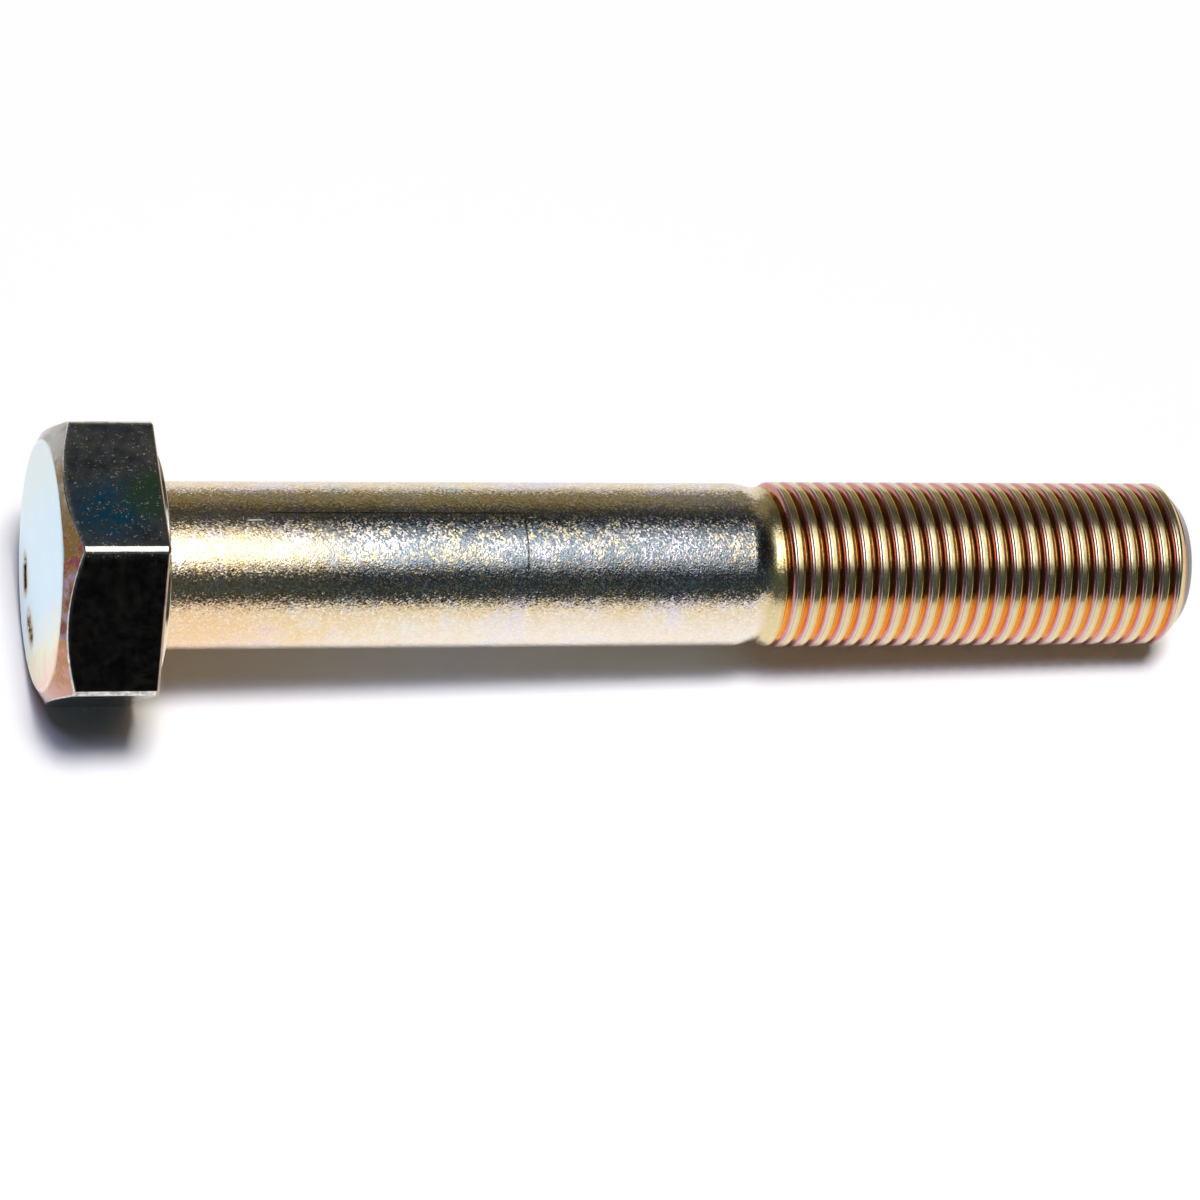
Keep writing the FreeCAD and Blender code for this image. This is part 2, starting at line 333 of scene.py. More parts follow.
def helix_rows():
    """Rows that climb one pitch a turn, from the end of the shank to the middle of the point.

    Past the point's chamfer a row's travel q no longer is its X: it turns into the way round the
    point's rounding, and then into the way inward over the end face.
    """
    even = even_columns()
    tangent = POINT_ROUND * math.tan(POINT_SLOPE / 2)
    round_start = LENGTH - tangent * math.cos(POINT_SLOPE)
    round_end = round_start + POINT_TURN
    end_radius = POINT_RADIUS - tangent
    spare = 0.02
    last = (round_end + POINT_INWARD - FIRST_CREST) / PITCH + spare
    whole = np.arange(math.floor(HELIX_START), math.ceil(last) + 1)
    turns = (whole[:, None] + PHASES[None, :]).ravel()
    rows = []
    for turn in turns[(turns >= HELIX_START) & (turns <= last + 1)]:
        q = FIRST_CREST + PITCH * (turn + even / TURN)
        share = turn - round(turn)
        groove_middle = FIRST_CREST + PITCH * (math.floor(turn) + 0.5 + even / TURN)
        cut = smooth_step((groove_middle - RUN_OUT_START) / RUN_OUT_LENGTH)
        depth = groove(share) * cut
        cone = POINT_RADIUS + LENGTH - np.minimum(q, LENGTH)
        radius = soft_min(crest_envelope(q) - depth, cone, POINT_BLEND)

        on_point = q > round_start
        lean = POINT_SLOPE - np.clip((q - round_start) / POINT_TURN, 0, 1) * POINT_SLOPE
        inward = np.clip((q - round_end) / POINT_INWARD, 0, 1)
        round_radius = end_radius + POINT_ROUND * np.sin(lean)
        point_radius = np.where(q > round_end, end_radius * (1 - inward**1.5), round_radius)
        radius = np.where(on_point, point_radius, radius)
        x = np.where(on_point, LENGTH - POINT_ROUND + POINT_ROUND * np.cos(lean), q)

        crest = math.exp(-((share / CREST_WORN) ** 4)) * np.where(on_point, 0, cut)
        wear = np.where(on_point & (q < round_end), 0.8, crest)
        part = ON_THREAD * smooth_step((q - NECK_START - THREAD_LOOK_DELAY) / LOOK_FADE)
        past_shank = smooth_step((q - NECK_START) / LOOK_FADE)
        past_neck = smooth_step((q - NECK_END) / LOOK_FADE)
        grain = 1 - 0.45 * past_shank - 0.55 * past_neck
        side = share * np.where(on_point, 0, cut)
        deep = np.where(on_point, 0, depth / GROOVE_DEPTH)
        rows.append(np.stack([even, x, radius, wear, part, grain, side, deep], axis=1))
    return rows


def bolt_faces(ring_count, helix_count, face_middle):
    """The faces over the rings, over the helix and between them, each as its vertices' numbers."""

    def ring(row, column):
        return row * COLUMNS + column % COLUMNS

    def coil(row, column):
        return (ring_count + row) * COLUMNS + column

    def patch(vertex, row, column):
        return (
            vertex(row, column), vertex(row, column + 1),
            vertex(row + 1, column + 1), vertex(row + 1, column),
        )

    last_ring, last_column, pitch_rows = ring_count - 1, COLUMNS - 1, len(PHASES)
    faces = [(face_middle, ring(0, column + 1), ring(0, column)) for column in range(COLUMNS)]
    faces += [patch(ring, row, column) for row in range(last_ring) for column in range(COLUMNS)]
    for column in range(last_column):
        start = coil(0, column + 1), coil(0, column)
        faces.append((ring(last_ring, column), ring(last_ring, column + 1), *start))
    # One turn takes the helix a pitch further on, and one tall face fills the step beside it.
    step = [coil(row, 0) for row in range(pitch_rows + 1)]
    faces.append((ring(last_ring, last_column), ring(last_ring, 0), *step, coil(0, last_column)))
    for row in range(helix_count - 1):
        faces += [patch(coil, row, column) for column in range(last_column)]
        if row + pitch_rows + 1 < helix_count:
            above = coil(row + pitch_rows, 0), coil(row + pitch_rows + 1, 0)
            faces.append((coil(row, last_column), *above, coil(row + 1, last_column)))
    return faces


def build_bolt():
    """Points in millimetres, faces and marks of the whole bolt."""
    rings, helix = ring_rows(), helix_rows()
    table = np.concatenate(rings + helix)
    angle, x, radius = table.T[:3]
    points = np.stack([x, radius * np.cos(angle), radius * np.sin(angle)], axis=1)
    face_middle, point_middle = len(points), len(points) + 1
    points = np.vstack([points, [[-HEAD_HEIGHT, 0, 0], [LENGTH, 0, 0]]])
    marks = np.vstack([table[:, 3:], [[0, ON_FACE, 0, 0, 0], [0, ON_THREAD, 0, 0, 0]]])

    # Rows that have come in to the axis at the point share its one middle vertex.
    same = np.arange(len(points))
    same[np.flatnonzero((radius < 1e-4) & (x > LENGTH - 1))] = point_middle
    clean = []
    used = np.zeros(len(points), bool)
    for face in bolt_faces(len(rings), len(helix), face_middle):
        ids = [int(same[i]) for i in face]
        ids = [v for i, v in enumerate(ids) if v != ids[i - 1]]
        if len(ids) > 2 and len(set(ids)) == len(ids):
            clean.append(ids)
            used[ids] = True
    new = np.cumsum(used) - 1
    clean = [[int(new[i]) for i in face] for face in clean]
    return points[used], clean, marks[used]


def lumps(points, size, seed):
    """A smooth random field, mostly from -1 to 1, over the points, with features of about that size."""
    waves = 18
    draw = np.random.default_rng(seed)
    total = np.zeros(len(points))
    for _ in range(waves):
        direction = draw.normal(size=3)
        direction /= np.linalg.norm(direction)
        wave = TURN / (size * draw.uniform(0.7, 1.6))
        total += np.sin(points @ direction * wave + draw.uniform(0, TURN))
    return total / (waves / 3)


def weather(points, marks):
    """Small uneven places: a slight wave on the flats and the shank, and dents on the crests."""
    flat_wave, shank_wave, crest_dent, sunk = 0.010, 0.004, 0.012, 0.006
    x = points[:, 0]
    wear, part = marks[:, 0], marks[:, 1]
    radius = np.maximum(np.hypot(points[:, 1], points[:, 2]), 1e-6)
    outward = np.stack([np.zeros_like(x), points[:, 1] / radius, points[:, 2] / radius], axis=1)
    push = np.zeros(len(points))
    flats = (part > 0.15) & (part < 0.55)
    push[flats] -= flat_wave + flat_wave * lumps(points, size=5.0, seed=3)[flats]
    shank = (x > 1) & (x < NECK_START) & (part < 0.05)
    push[shank] += shank_wave * lumps(points, size=7.0, seed=4)[shank] - sunk
    crest = (wear > 0.5) & (part < -0.5)
    push[crest] += np.minimum(crest_dent * lumps(points, size=1.1, seed=5)[crest] - sunk, 0)
    return points + outward * push[:, None]


def bolt_object():
    points, faces, marks = build_bolt()
    points = weather(points, marks)
    mesh = bpy.data.meshes.new("hex_bolt_surface")
    mesh.from_pydata([tuple(p) for p in points * MM], [], faces)
    mesh.update()
    for name, values in zip(("wear", "part", "grain", "side", "depth"), marks.T):
        layer = mesh.attributes.new(name, "FLOAT", "POINT")
        layer.data.foreach_set("value", np.asarray(values, np.float32))
    mesh.polygons.foreach_set("use_smooth", [True] * len(mesh.polygons))
    made = bpy.data.objects.new("bolt_surface", mesh)
    bpy.context.scene.collection.objects.link(made)
    return made


class Nodes:
    """Short ways to make and join shader nodes."""

    def __init__(self, tree):
        self.tree = tree
        tree.nodes.clear()

    def node(self, kind, **settings):
        made = self.tree.nodes.new("ShaderNode" + kind)
        for key, value in settings.items():
            setattr(made, key, value)
        return made

    def put(self, socket, value):
        if isinstance(value, bpy.types.NodeSocket):
            self.tree.links.new(value, socket)
        elif value is not None:
            socket.default_value = value

    def math(self, operation, a, b=None):
        made = self.node("Math", operation=operation)
        for socket, value in zip(made.inputs, (a, b)):
            self.put(socket, value)
        return made.outputs[0]

    def plus(self, a, b):
        return self.math("ADD", a, b)

    def minus(self, a, b):
        return self.math("SUBTRACT", a, b)

    def times(self, a, b):
        return self.math("MULTIPLY", a, b)

    def vector(self, operation, a, b=None, scale=None):
        made = self.node("VectorMath", operation=operation)
        self.put(made.inputs[0], a)
        self.put(made.inputs[1], b)
        if scale is not None:
            self.put(made.inputs["Scale"], scale)
        return made.outputs["Value" if operation == "DISTANCE" else 0]

    def noise(self, vector, scale, detail=3.0, rough=0.5, distortion=0.0):
        made = self.node("TexNoise")
        self.put(made.inputs["Vector"], vector)
        self.put(made.inputs["Scale"], scale)
        self.put(made.inputs["Detail"], detail)
        self.put(made.inputs["Roughness"], rough)
        self.put(made.inputs["Distortion"], distortion)
        return made.outputs["Fac"]

    def split(self, value, kind="XYZ"):
        made = self.node("Separate" + kind)
        self.put(made.inputs[0], value)
        return made.outputs

    def ramp(self, value, stops, mode="LINEAR"):
        made = self.node("ValToRGB")
        made.color_ramp.interpolation = mode
        items = made.color_ramp.elements
        while len(items) < len(stops):
            items.new(0.5)
        for item, (place, colour) in zip(items, stops):
            item.position = place
            item.color = (*colour, 1.0)
        self.put(made.inputs["Fac"], value)
        return made.outputs["Color"]

    def mix(self, share, a, b, mode="MIX"):
        made = self.node("Mix", data_type="RGBA", blend_type=mode, clamp_factor=True)
        self.put(made.inputs["Factor"], share)
        for socket, value in zip((made.inputs[6], made.inputs[7]), (a, b)):
            if isinstance(value, tuple):
                value = (*value, 1.0)
            self.put(socket, value)
        return made.outputs[2]

    def attribute(self, name):
        return self.node("Attribute", attribute_name=name).outputs["Fac"]

    def map(self, value, low, high, to_low=0.0, to_high=1.0, interpolation="LINEAR"):
        made = self.node("MapRange", interpolation_type=interpolation)
        for socket, item in zip(made.inputs, (value, low, high, to_low, to_high)):
            self.put(socket, item)
        return made.outputs[0]

    def ease(self, value, low, high, to_low=0.0, to_high=1.0):
        """Like map, with a soft start and end."""
        return self.map(value, low, high, to_low, to_high, "SMOOTHSTEP")


# Colours of the film, as a metal's base colour.
FILM_BY_THICKNESS = [
    (0.34, (0.62, 0.62, 0.72)),
    (0.42, (0.78, 0.70, 0.72)),
    (0.48, (0.86, 0.74, 0.54)),
    (0.54, (0.85, 0.66, 0.36)),
    (0.60, (0.86, 0.76, 0.58)),
    (0.66, (0.74, 0.74, 0.60)),
    (0.73, (0.84, 0.56, 0.46)),
]
FACE_ACROSS = [
    (0.0, (0.56, 0.70, 0.68)),
    (0.18, (0.50, 0.71, 0.82)),
    (0.52, (0.48, 0.68, 0.80)),
    (0.66, (0.74, 0.70, 0.42)),
    (0.80, (0.80, 0.46, 0.32)),
    (1.0, (0.66, 0.38, 0.44)),
]
CHAMFER_FILM_AND_PAINTED_REFLECTION = [
    (0.05, (0.34, 0.33, 0.30)),
    (0.20, (0.24, 0.19, 0.12)),
    (0.34, (0.17, 0.10, 0.03)),
    (0.46, (0.20, 0.12, 0.035)),
    (0.52, (0.20, 0.035, 0.07)),
    (0.60, (0.22, 0.12, 0.045)),
    (0.70, (0.26, 0.20, 0.28)),
    (0.80, (0.44, 0.20, 0.07)),
    (0.92, (0.52, 0.26, 0.20)),
]
FLATS_CLOUDS = [
    (0.36, (0.20, 0.21, 0.22)),
    (0.46, (0.34, 0.34, 0.32)),
    (0.54, (0.46, 0.45, 0.38)),
    (0.62, (0.60, 0.56, 0.44)),
]
THREAD_OVER_A_PITCH = [
    (0.00, (0.92, 0.58, 0.12)),
    (0.09, (0.92, 0.46, 0.13)),
    (0.16, (0.68, 0.17, 0.20)),
    (0.22, (0.50, 0.26, 0.32)),
    (0.29, (0.72, 0.53, 0.48)),
    (0.375, (0.74, 0.60, 0.38)),
    # The dark stop here is painted shade along the seam's crease.
    (0.40, (0.28, 0.21, 0.12)),
    (0.425, (0.74, 0.60, 0.34)),
    (0.58, (0.74, 0.61, 0.27)),
    (0.70, (0.72, 0.50, 0.17)),
    (0.80, (0.84, 0.48, 0.12)),
    (0.90, (0.90, 0.52, 0.11)),
]
STEEL_BLUE_PAINTED_SHADE = (0.19, 0.245, 0.31)
CREAM_PAINTED_REFLECTION = (0.88, 0.83, 0.76)
WARM_GOLD = (0.90, 0.62, 0.34)
OLIVE = (0.52, 0.42, 0.16)
DARK_STAIN = (0.12, 0.07, 0.03)
BLUE_PATCH = (0.05, 0.36, 0.58)
GREEN_PATCH = (0.20, 0.42, 0.18)
NEAR_BLACK_PAINTED_REFLECTION = (0.03, 0.03, 0.028)
PALE_PIT = (0.85, 0.83, 0.75)
ROOT_PAINTED_SHADE = (0.17, 0.085, 0.025)
POINT_PAINTED_SHADE = (0.08, 0.075, 0.08)
CRYSTAL_PAINTED_SHADE = (0.34, 0.33, 0.30)
CRYSTAL_PAINTED_GLINT = (0.98, 0.95, 0.86)
WORN_FILM = (0.62, 0.42, 0.28)
BARE_ZINC = (0.94, 0.92, 0.86)
SCRATCH_DARK = (0.08, 0.06, 0.04)
SCRATCH_BRIGHT = (0.97, 0.95, 0.92)


class Surface:
    """What the film depends on: the place in millimetres, the mesh's marks and shared noises."""

    def __init__(self, n):
        self.place = n.vector("SCALE", n.node("TexCoord").outputs["Object"], scale=1 / MM)
        self.x, self.y, self.z = n.split(self.place)
        self.wear, self.part = n.attribute("wear"), n.attribute("part")
        self.grainy = n.attribute("grain")
        self.side, self.depth = n.attribute("side"), n.attribute("depth")
        self.patch = n.noise(self.place, 0.45, 4.0, 0.6, 0.3)
        self.fine = n.noise(self.place, 1.6, 3.0, 0.6, 0.4)
        self.cloud_fine = n.noise(self.place, 1.3, 3.0, 0.6, 0.0)
        self.speck = n.noise(self.place, 11.0, 0.5, 0.5)
        crystals = n.node("TexVoronoi")
        n.put(crystals.inputs["Vector"], self.place)
        n.put(crystals.inputs["Scale"], 6.4)
        self.crystal_vector = crystals.outputs["Color"]
        self.crystal, self.tinted, _ = n.split(self.crystal_vector, "Color")
        self.uneven = n.minus(self.patch, 0.5)


def film_thickness(n, at):
    broad = n.noise(at.place, 0.13, 2.0, 0.5, 0.5)
    thickness = n.plus(n.times(broad, 0.45), n.times(at.patch, 0.40))
    return n.plus(thickness, n.times(at.fine, 0.15))


def film_colour(n, at, thickness):
    """Gold and cream by thickness, with painted reflections: steel blue patches as painted shade on the
    shank's upper side, and cream low down as the table's painted reflection.
    """
    gold = n.ramp(thickness, FILM_BY_THICKNESS)
    # Painted shade: steel blue patches only on the shank's upper side, where it would mirror the dark
    # room.
    painted_shade_side = n.times(n.ease(at.z, 2.0, 5.5), n.ease(at.y, 1.4, -0.6, 0.15, 1.0))
    mottled = n.plus(at.tinted, n.times(at.uneven, 2.0))
    blue = n.times(n.ease(mottled, 0.20, 0.42, 0.0, 0.92), painted_shade_side)
    gold = n.mix(n.times(blue, n.map(at.x, 5.0, 16.0)), gold, STEEL_BLUE_PAINTED_SHADE)
    # Painted reflection: cream on the shank's lower side, where it would mirror the table.
    pale = n.times(n.ease(at.x, 8.0, 26.0, 0.0, 0.6), n.ease(at.z, 3.0, 0.5))
    return n.mix(pale, gold, CREAM_PAINTED_REFLECTION)


def shank_colour(n, at, gold):
    """The film, warmer towards the head."""
    near_head = n.ease(n.plus(at.x, n.times(at.patch, 12.0)), 24.0, 7.0, 0.0, 0.75)
    near_head = n.times(near_head, n.ease(at.z, 5.0, 3.0, 0.35, 1.0))
    return n.mix(n.times(near_head, at.grainy), gold, WARM_GOLD)


def face_colour(n, at):
    """Pale blue that turns yellow and pink at one side, with dark stains in the two marks."""
    across = n.plus(n.times(at.y, -0.075), n.times(at.z, -0.035))
    across = n.plus(across, n.times(at.uneven, 0.7))
    face = n.ramp(n.map(across, -0.6, 1.2), FACE_ACROSS)
    halo = n.times(n.map(at.depth, 0.0, 0.5), n.map(at.patch, 0.40, 0.56, 0.35, 1.0))
    face = n.mix(halo, face, OLIVE)
    stain = n.times(n.map(at.depth, 0.25, 0.8), n.map(at.fine, 0.40, 0.52, 0.1, 1.0))
    return n.mix(stain, face, DARK_STAIN)


def chamfer_colour(n, at):
    """Film colours with painted reflections round the head: grey at the far upper side, dark brown and
    violet on the way, orange at the near lower side.
    """
    # Painted reflection: the colour is graded from the head's far upper side to its near lower side, as
    # if mirroring the room above and the table below.
    far_up = n.plus(n.times(at.y, 0.82), n.times(at.z, 0.58))
    painted_reflection_place = n.map(far_up, 11.0, -12.0, 0.05, 0.95)
    return n.ramp(n.plus(painted_reflection_place, n.times(at.uneven, 1.1)), CHAMFER_FILM_AND_PAINTED_REFLECTION)


def flats_colour(n, at, pit):
    """Cloudy grey with a blue and a green patch on the top flat, and near black painted on the others as
    their dark reflection.
    """

    def patch_at(place_mm, reach):
        near = n.ease(n.vector("DISTANCE", at.place, place_mm), reach, reach * 0.3)
        return n.times(near, n.map(at.cloud_fine, 0.36, 0.56, 0.2, 1.0))

    cloud = n.noise(at.place, 0.32, 5.0, 0.62, 0.0)
    drift = n.plus(n.times(cloud, 0.6), n.times(at.cloud_fine, 0.4))
    flats = n.ramp(drift, FLATS_CLOUDS, "EASE")
    flats = n.mix(patch_at((-5.0, -2.6, APOTHEM), 4.4), flats, BLUE_PATCH)
    flats = n.mix(patch_at((-1.6, -1.0, APOTHEM), 3.2), flats, GREEN_PATCH)
    # Painted reflection: the flats below the top one are painted near black, as if mirroring the dark
    # room.
    painted_dark_reflection = n.map(at.z, 10.7, 10.2, 0.0, 0.88)
    painted_dark_reflection = n.times(painted_dark_reflection, n.map(at.cloud_fine, 0.40, 0.66, 1.0, 0.72))
    flats = n.mix(painted_dark_reflection, flats, NEAR_BLACK_PAINTED_REFLECTION)
    return n.mix(pit, flats, PALE_PIT)


def thread_colour(n, at, thickness, gold):
    """Pale on the crests, orange in the roots, and violet on the flank that faces the head, with painted
    shade in the roots and on the point's chamfer on the upper side, and a painted dark line along the
    seam.
    """
    thread = n.ramp(n.plus(at.side, 0.5), THREAD_OVER_A_PITCH)
    # Painted shade: the roots are darkened to brown on the upper side only.
    brown = n.times(n.map(at.depth, 0.15, 0.55), n.ease(at.z, 1.8, 4.0, 0.0, 0.72))
    brown = n.times(brown, n.map(at.side, 0.26, 0.36, 1.0, 0.9))
    thread = n.mix(brown, thread, ROOT_PAINTED_SHADE)
    thread = n.mix(n.map(thickness, 0.4, 0.7, 0.0, 0.22), thread, gold)
    # Painted shade: the point's chamfer is darkened on its upper side.
    painted_point_shade = n.times(n.map(at.x, 88.9, 89.3), n.ease(at.z, -1.5, 1.5, 0.0, 0.85))
    return n.mix(painted_point_shade, thread, POINT_PAINTED_SHADE)


def with_painted_crystal_glints(n, at, colour):
    """The shank's crystals, with painted sparkle: some given painted shade, some a painted glint, more
    of both on the upper side.
    """
    # Painted sparkle: crystal cells darkened or brightened in the colour, weaker on the lower side.
    painted_sparkle_mask = n.times(at.grainy, n.ease(at.z, 1.0, 3.4, 0.4, 1.0))
    painted_crystal_shade = n.times(n.map(at.crystal, 0.0, 0.7, 0.34, 0.0), painted_sparkle_mask)
    colour = n.mix(painted_crystal_shade, colour, n.mix(1.0, colour, CRYSTAL_PAINTED_SHADE, "MULTIPLY"))
    painted_glint = n.times(n.map(at.crystal, 0.80, 0.95), n.map(painted_sparkle_mask, 0.0, 1.0, 0.08, 0.60))
    return n.mix(painted_glint, colour, CRYSTAL_PAINTED_GLINT)


def with_wear(n, at, colour):
    """Bare metal on the worn edges, less of it on the thread; the pale bare metal also stands in as a
    painted highlight along the edges.
    """
    # Partly real wear, partly painted highlight on the edges, corners and crests.
    bare = n.times(at.wear, n.map(at.fine, 0.35, 0.65, 0.25, 0.85))
    bare = n.times(bare, n.map(at.part, -0.9, -0.2, 0.15, 1.0))
    metal = n.mix(n.map(at.part, 0.12, 0.18, 1.0, 0.0), WORN_FILM, BARE_ZINC)
    metal = n.mix(n.map(at.part, 0.22, 0.28), metal, BARE_ZINC)
    return n.mix(bare, colour, metal)


def scratches(n, at):
    """Shares of the dark scratches, along the shank and round it, and of a short bright one."""

    def line(across, width, along, start, stop):
        soft_end = 0.4
        near = n.map(n.math("ABSOLUTE", across), width, width * 0.4)
        began = n.map(along, start, start + soft_end)
        ended = n.map(along, stop, stop - soft_end)
        return n.times(near, n.times(began, ended))

    def arc(degrees):
        return SHANK_RADIUS * math.radians(degrees)

    wander = n.times(at.uneven, 0.25)
    arc_place = n.plus(n.times(n.math("ARCTAN2", at.z, at.y), SHANK_RADIUS), wander)
    lengthwise = line(n.minus(arc_place, arc(87.5)), 0.095, at.x, 8.8, 30.4)
    round_it = line(n.minus(n.plus(at.x, wander), 30.3), 0.11, arc_place, arc(87), arc(134))
    short = line(n.minus(arc_place, arc(93.6)), 0.09, at.x, 6.9, 8.6)
    return n.times(n.math("MAXIMUM", lengthwise, round_it), at.grainy), short


def roughness(n, at, on_flats, pit, short):
    """Smoother on the flats, rougher on the shank, the crests, the pits and the bright scratch."""
    rough = n.map(at.patch, 0.3, 0.7, 0.13, 0.19)
    rough = n.minus(rough, n.times(on_flats, 0.08))
    rough = n.plus(rough, n.times(n.times(on_flats, pit), 0.45))
    on_crests = n.times(n.map(at.part, -0.4, -0.9), n.map(at.depth, 0.05, 0.35, 0.09, 0.0))
    rough = n.plus(rough, on_crests)
    rough = n.plus(rough, n.times(short, 0.4))
    return n.plus(rough, n.times(at.grainy, n.map(at.speck, 0.3, 0.7, 0.0, 0.06)))


def fine_normal(n, at, scratch):
    """Normals tilted crystal by crystal, with fine lumps and the dark scratches on top."""
    grain = n.noise(at.place, 6.0, 1.0, 0.6)
    lumpy = n.plus(n.times(grain, 0.75), n.times(at.speck, 0.25))
    height = n.times(lumpy, n.plus(n.times(at.grainy, 0.95), 0.05))
    height = n.plus(height, n.times(at.cloud_fine, 0.05))
    height = n.minus(height, n.times(scratch, 0.15))
    tilt = n.vector("SUBTRACT", at.crystal_vector, (0.5, 0.5, 0.5))
    tilt = n.vector("SCALE", tilt, scale=n.times(at.grainy, 0.125))
    facing = n.vector("NORMALIZE", n.vector("ADD", n.node("NewGeometry").outputs["Normal"], tilt))
    bump = n.node("Bump")
    n.put(bump.inputs["Normal"], facing)
    n.put(bump.inputs["Distance"], 0.027 * MM)
    n.put(bump.inputs["Strength"], 1.0)
    n.put(bump.inputs["Height"], height)
    return bump.outputs["Normal"]


def yellow_zinc():
    """Zinc plate with a yellow chromate film: gold and cream, drifting to pink, green and violet."""
    material = bpy.data.materials.new("yellow_zinc_steel")
    material.use_nodes = True
    n = Nodes(material.node_tree)
    at = Surface(n)
    pit = n.map(n.noise(at.place, 3.4, 3.0, 0.8, 0.0), 0.60, 0.66)
    pit = n.times(pit, n.map(at.z, 9.8, 10.9, 0.0, 0.7))

    thickness = film_thickness(n, at)
    gold = film_colour(n, at, thickness)
    colour = n.mix(n.map(at.part, 0.62, 0.78), chamfer_colour(n, at), face_colour(n, at))
    colour = n.mix(n.map(at.part, 0.50, 0.58), flats_colour(n, at, pit), colour)
    colour = n.mix(n.map(at.part, 0.12, 0.22), shank_colour(n, at, gold), colour)
    threaded = n.map(at.part, -0.9, -0.1, 1.0, 0.0)
    colour = n.mix(threaded, colour, thread_colour(n, at, thickness, gold))
    colour = with_wear(n, at, with_painted_crystal_glints(n, at, colour))
    scratch, short = scratches(n, at)
    colour = n.mix(n.times(scratch, 0.9), colour, SCRATCH_DARK)
    colour = n.mix(short, colour, SCRATCH_BRIGHT)

    on_flats = n.times(n.map(at.part, 0.15, 0.28), n.map(at.part, 0.66, 0.56))
    shader = n.node("BsdfPrincipled")
    n.put(shader.inputs["Metallic"], n.minus(0.99, n.times(on_flats, 0.02)))
    n.put(shader.inputs["Base Color"], colour)
    n.put(shader.inputs["Roughness"], roughness(n, at, on_flats, pit, short))
    n.put(shader.inputs["Normal"], fine_normal(n, at, scratch))
    n.put(n.node("OutputMaterial").inputs["Surface"], shader.outputs["BSDF"])
    return material


def white_paper():
    material = bpy.data.materials.new("white_paper")
    material.use_nodes = True
    n = Nodes(material.node_tree)
    shader = n.node("BsdfPrincipled")
    shader.inputs["Base Color"].default_value = (0.86, 0.86, 0.87, 1)
    shader.inputs["Roughness"].default_value = 0.9
    shader.inputs["Specular IOR Level"].default_value = 0.1
    n.put(n.node("OutputMaterial").inputs["Surface"], shader.outputs["BSDF"])
    return material


# The bolt lies on the back edge of the hexagon's lowest flat and on the thread near the point, so in
# the bolt's own frame the table leans by the angle between those two.
REST_HEAD = Vector((-0.45, 0, -11.0)) * MM
REST_POINT = Vector((88.3, 0, -6.985)) * MM
TABLE_HALF = 1.1
TABLE_GAP = 0.02 * MM

# The camera, placed by the angles at which it looks at the bolt.
LOOK_ALONG = 38.412 * MM
LOOK_ABOVE = -2.947 * MM
DISTANCE = 370.97 * MM
ELEVATION = math.radians(54.71)
YAW = math.radians(16.92)
ROLL = math.radians(-0.259)
FOCAL_LENGTH = 133.06
SENSOR = 36.0

# Lights in metres and watts. The panels show only in the metal's reflections, and the two smaller
# lights fall on the table and don't show in the metal.
PANELS = (
    ("overhead", (-0.35, -0.57, 2.0), (1.8, 1.3), 18.0),
    ("overhead_edge", (-0.05, -0.55, 1.98), (2.4, 2.3), 17.0),
)
TABLE_LIGHTS = (
    ("table_light", (-0.05, -0.20, 2.0), 40.0, (1.0, 0.97, 0.92)),
    ("table_light_blue", (-0.35, -0.42, 2.0), 12.0, (0.62, 0.68, 1.0)),
)
TABLE_LIGHT_AIM = (0.03, 0, 0)
TABLE_LIGHT_SIZE = (0.5, 0.45)

# The room that the metal reflects: dark, with dim bands and a bluish side.
ROOM_DARK = (0.004, 0.004, 0.005)
ROOM_LOW_BEHIND = (0.25, 0.225, 0.155)
ROOM_HIGH_BEHIND = (0.042, 0.048, 0.058)
ROOM_BLUE_SIDE = (0.06, 0.08, 0.16)
ROOM_FRONT = (0.045, 0.065, 0.072)
BACKDROP = (0.95, 0.95, 0.95, 1)


def table_top():
    lean = math.atan2(REST_POINT.z - REST_HEAD.z, REST_POINT.x - REST_HEAD.x)
    mesh = bpy.data.meshes.new("table_top")
    corners = [(-1, -1), (1, -1), (1, 1), (-1, 1)]
    mesh.from_pydata([(a * TABLE_HALF, b * TABLE_HALF, 0) for a, b in corners], [], [(0, 1, 2, 3)])
    mesh.materials.append(white_paper())
    table = bpy.data.objects.new("table_top", mesh)
    bpy.context.scene.collection.objects.link(table)
    place = REST_HEAD - Vector((0, 0, TABLE_GAP))
    table.matrix_world = Matrix.Translation(place) @ Matrix.Rotation(-lean, 4, "Y")
    return table


def photo_camera():
    """A camera that looks at the bolt from the photograph's angle."""
    front = Vector((0, -math.cos(ELEVATION), math.sin(ELEVATION)))
    above = Vector((0, math.sin(ELEVATION), math.cos(ELEVATION)))
    back = front * math.cos(YAW) - Vector((1, 0, 0)) * math.sin(YAW)
    right = (-back).cross(above).normalized()
    up = right.cross(-back)
    rolled_right = right * math.cos(ROLL) + up * math.sin(ROLL)
    rolled_up = up * math.cos(ROLL) - right * math.sin(ROLL)
    data = bpy.data.cameras.new("camera")
    data.lens = FOCAL_LENGTH
    data.sensor_width = SENSOR
    data.clip_start = 0.01
    data.clip_end = 20
    camera = bpy.data.objects.new("camera", data)
    bpy.context.scene.collection.objects.link(camera)
    spot = Vector((LOOK_ALONG, 0, 0)) + above * LOOK_ABOVE + back * DISTANCE
    axes = Matrix((rolled_right, rolled_up, back)).transposed().to_4x4()
    camera.matrix_world = Matrix.Translation(spot) @ axes
    return camera


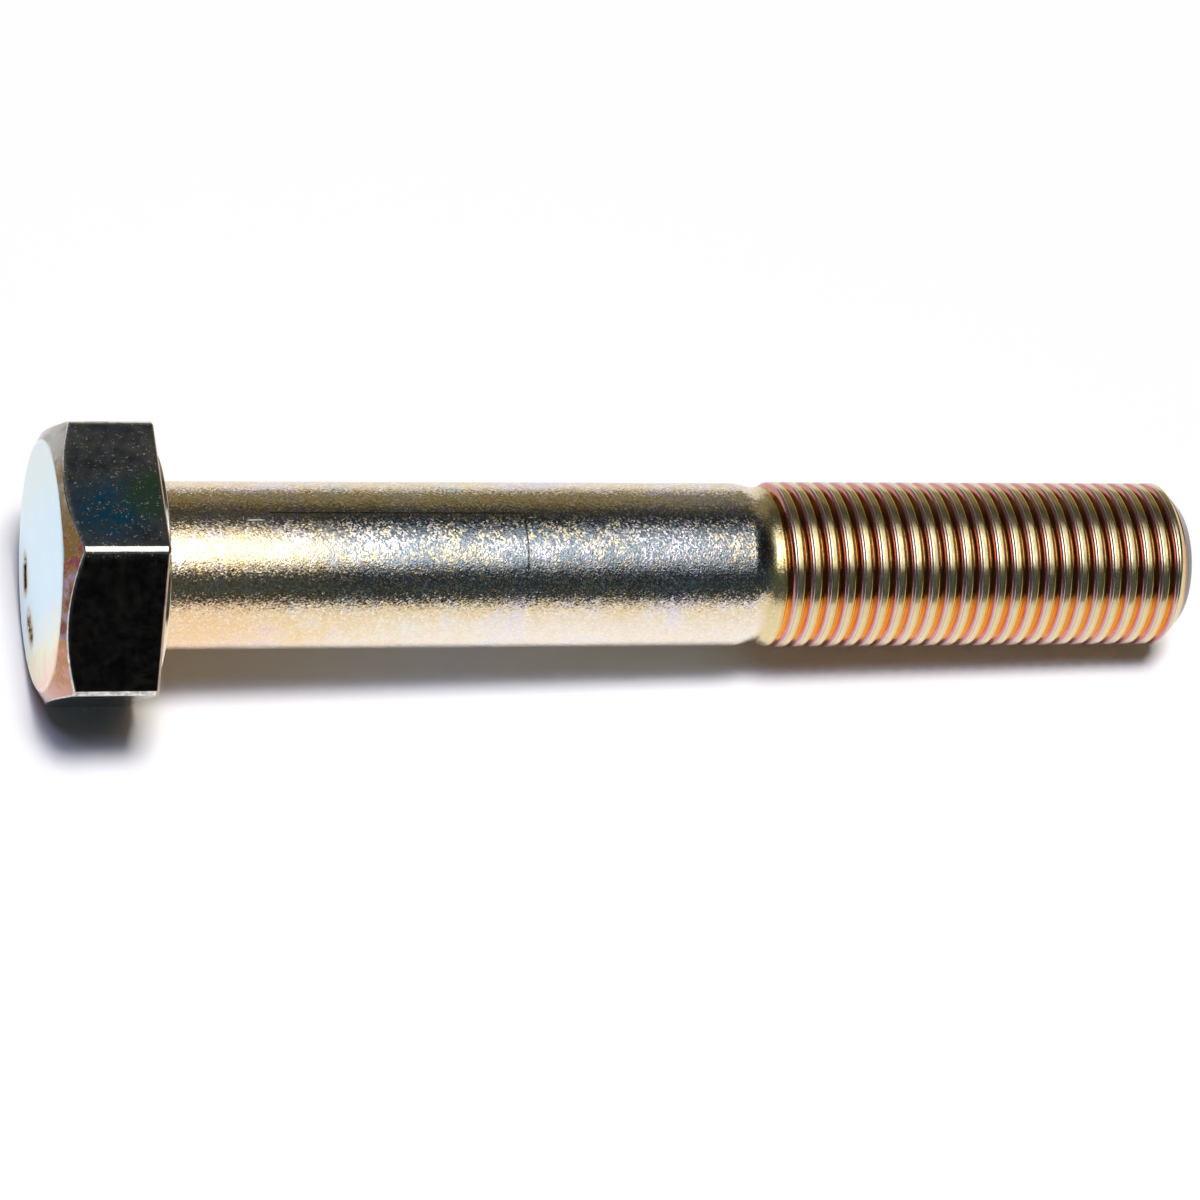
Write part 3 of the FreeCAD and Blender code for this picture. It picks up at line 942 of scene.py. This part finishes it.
def soft_box(name, place, aim, size, power, colour=(1, 1, 1)):
    """A rectangular soft light; the camera doesn't see it."""
    data = bpy.data.lights.new(name, "AREA")
    data.shape = "RECTANGLE"
    data.size, data.size_y = size
    data.energy = power
    data.color = colour
    lamp = bpy.data.objects.new(name, data)
    bpy.context.scene.collection.objects.link(lamp)
    lamp.location = place
    lamp.rotation_euler = (Vector(aim) - Vector(place)).to_track_quat("-Z", "Y").to_euler()
    lamp.visible_camera = False
    return lamp


def studio_lights():
    for name, place, size, power in PANELS:
        lamp = soft_box(name, place, (place[0], place[1], 0), size, power)
        lamp.visible_diffuse = False
    for name, place, power, tint in TABLE_LIGHTS:
        lamp = soft_box(name, place, TABLE_LIGHT_AIM, TABLE_LIGHT_SIZE, power, tint)
        lamp.visible_glossy = False


def room():
    """The camera sees a pale backdrop, and everything else sees the dark room."""
    world = bpy.data.worlds.new("room")
    world.use_nodes = True
    n = Nodes(world.node_tree)
    across, behind, height = n.split(n.node("TexCoord").outputs["Generated"])
    low = n.times(n.map(height, 0.0, 0.05), n.ease(height, 0.72, 0.40))
    colour = n.mix(n.times(low, n.ease(behind, 0.1, 0.5)), ROOM_DARK, ROOM_LOW_BEHIND)
    blue = n.times(n.ease(across, -0.35, -0.85), n.ease(height, 0.6, 0.1))
    colour = n.mix(blue, colour, ROOM_BLUE_SIDE)
    high = n.times(n.ease(height, 0.66, 0.74), n.ease(height, 0.95, 0.88))
    colour = n.mix(n.times(high, n.ease(behind, 0.1, 0.3)), colour, ROOM_HIGH_BEHIND)
    facing = n.times(n.ease(height, 0.12, 0.25), n.ease(height, 0.7, 0.45))
    colour = n.mix(n.times(facing, n.ease(behind, -0.1, -0.5)), colour, ROOM_FRONT)
    dark, pale = n.node("Background"), n.node("Background")
    n.put(dark.inputs["Color"], colour)
    pale.inputs["Color"].default_value = BACKDROP
    blend = n.node("MixShader")
    n.put(blend.inputs[0], n.node("LightPath").outputs["Is Camera Ray"])
    n.put(blend.inputs[1], dark.outputs[0])
    n.put(blend.inputs[2], pale.outputs[0])
    n.put(n.node("OutputWorld").inputs["Surface"], blend.outputs[0])
    return world


bolt = bolt_object()
bolt.data.materials.append(yellow_zinc())
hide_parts("hex_bolt")
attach(bolt, "root")

floor = table_top()

studio_lights()
bpy.context.scene.camera = photo_camera()
bpy.context.scene.world = room()
bpy.context.scene.view_settings.view_transform = "Standard"
